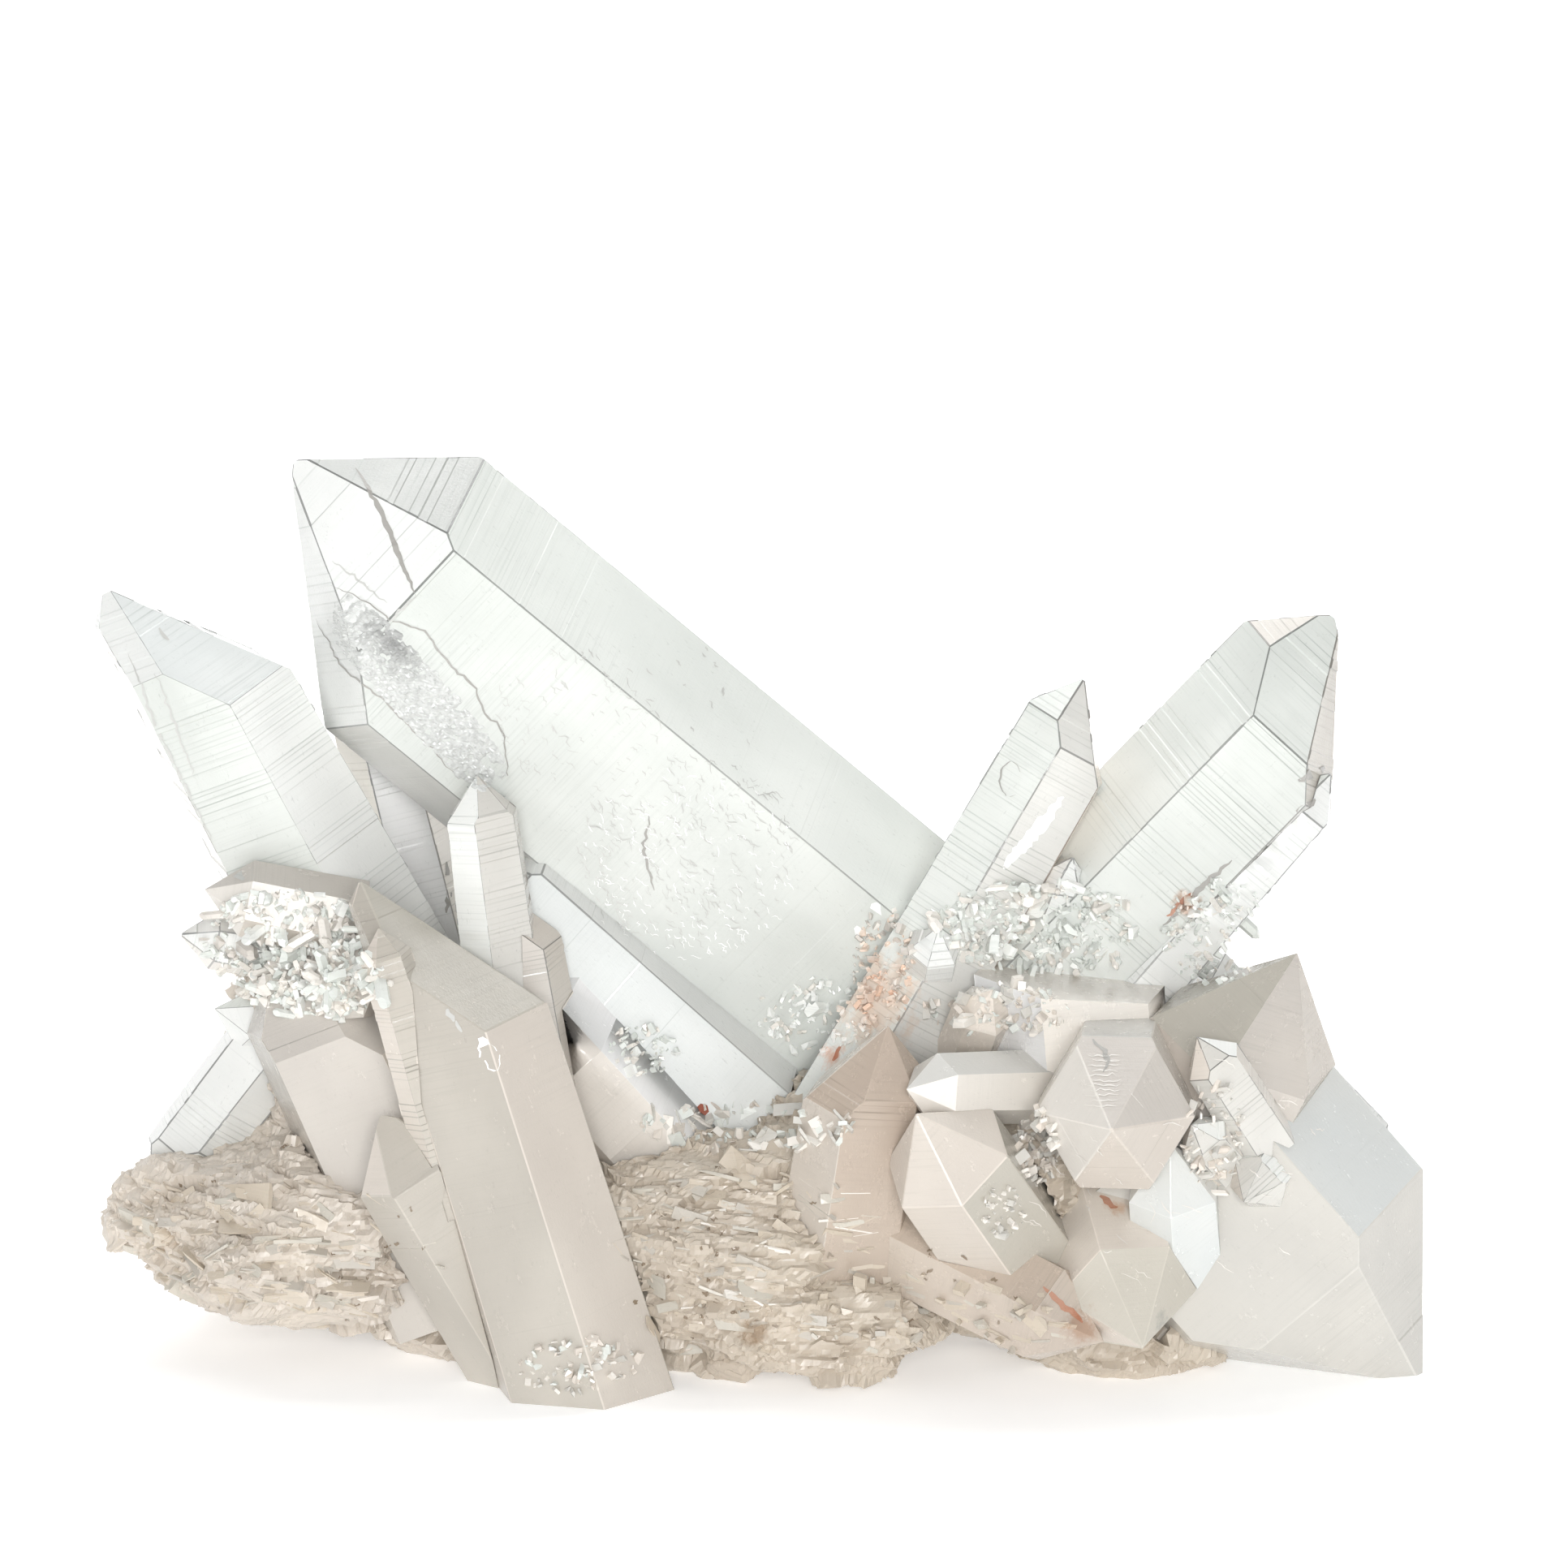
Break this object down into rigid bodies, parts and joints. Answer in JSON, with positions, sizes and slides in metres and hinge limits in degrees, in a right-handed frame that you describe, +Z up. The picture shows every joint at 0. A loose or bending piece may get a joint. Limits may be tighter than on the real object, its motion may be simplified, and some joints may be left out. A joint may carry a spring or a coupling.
{
  "type": "quartz crystal cluster",
  "caption": "Free-standing quartz cluster: long six-sided pointed crystals leaning out of a rough base of broken quartz, with stout milky crystals along its foot.",
  "frame": {"origin": "the middle of the box around the cluster, at the level it rests on", "axes": "+X to the right seen from the front, along the cluster's length; +Y away from the front; +Z up"},
  "size_m": [0.1078, 0.0576, 0.0736],
  "materials": {
    "clear_quartz": "clear quartz with faint milky veils, glassy flat facets",
    "milky_quartz": "milky quartz, satin to glassy facets",
    "stained_quartz": "milky quartz stained beige by iron, satin facets",
    "broken_mass": "broken milky quartz, rough and slightly stained"
  },
  "bodies": {
    "root": {"crystal_amber": "stained_quartz", "crystal_back_centre": "clear_quartz", "crystal_back_inner_left": "clear_quartz", "crystal_back_inner_right": "clear_quartz", "crystal_back_left": "milky_quartz", "crystal_back_low_left": "milky_quartz", "crystal_back_low_right": "stained_quartz", "crystal_back_outer_left": "milky_quartz", "crystal_back_outer_right": "milky_quartz", "crystal_back_right": "milky_quartz", "crystal_behind_left": "clear_quartz", "crystal_behind_right": "clear_quartz", "crystal_block": "stained_quartz", "crystal_centre_front": "milky_quartz", "crystal_companion": "clear_quartz", "crystal_front_blade": "clear_quartz", "crystal_front_left": "milky_quartz", "crystal_front_second": "clear_quartz", "crystal_front_slim": "milky_quartz", "crystal_front_small": "milky_quartz", "crystal_knob_front": "milky_quartz", "crystal_knob_left": "milky_quartz", "crystal_knob_outer": "clear_quartz", "crystal_left_broad": "milky_quartz", "crystal_left_tall": "clear_quartz", "crystal_low_centre": "milky_quartz", "crystal_low_left": "clear_quartz", "crystal_low_point": "stained_quartz", "crystal_low_right": "milky_quartz", "crystal_low_upright": "milky_quartz", "crystal_main": "clear_quartz", "crystal_pale_front": "milky_quartz", "crystal_pale_upper": "milky_quartz", "crystal_right_inner": "clear_quartz", "crystal_right_outer": "clear_quartz", "crystal_right_smoky": "stained_quartz", "crystal_right_tall": "clear_quartz", "crystal_striated_lower": "clear_quartz", "crystal_striated_right": "clear_quartz", "crystal_striated_upper": "clear_quartz", "crystal_stub_gap": "clear_quartz", "crystal_stub_left": "clear_quartz", "crystal_stub_right": "stained_quartz", "crystal_stub_root": "clear_quartz", "crystal_under_companion": "milky_quartz", "quartz_mass": "broken_mass"}
  },
  "joints": []
}
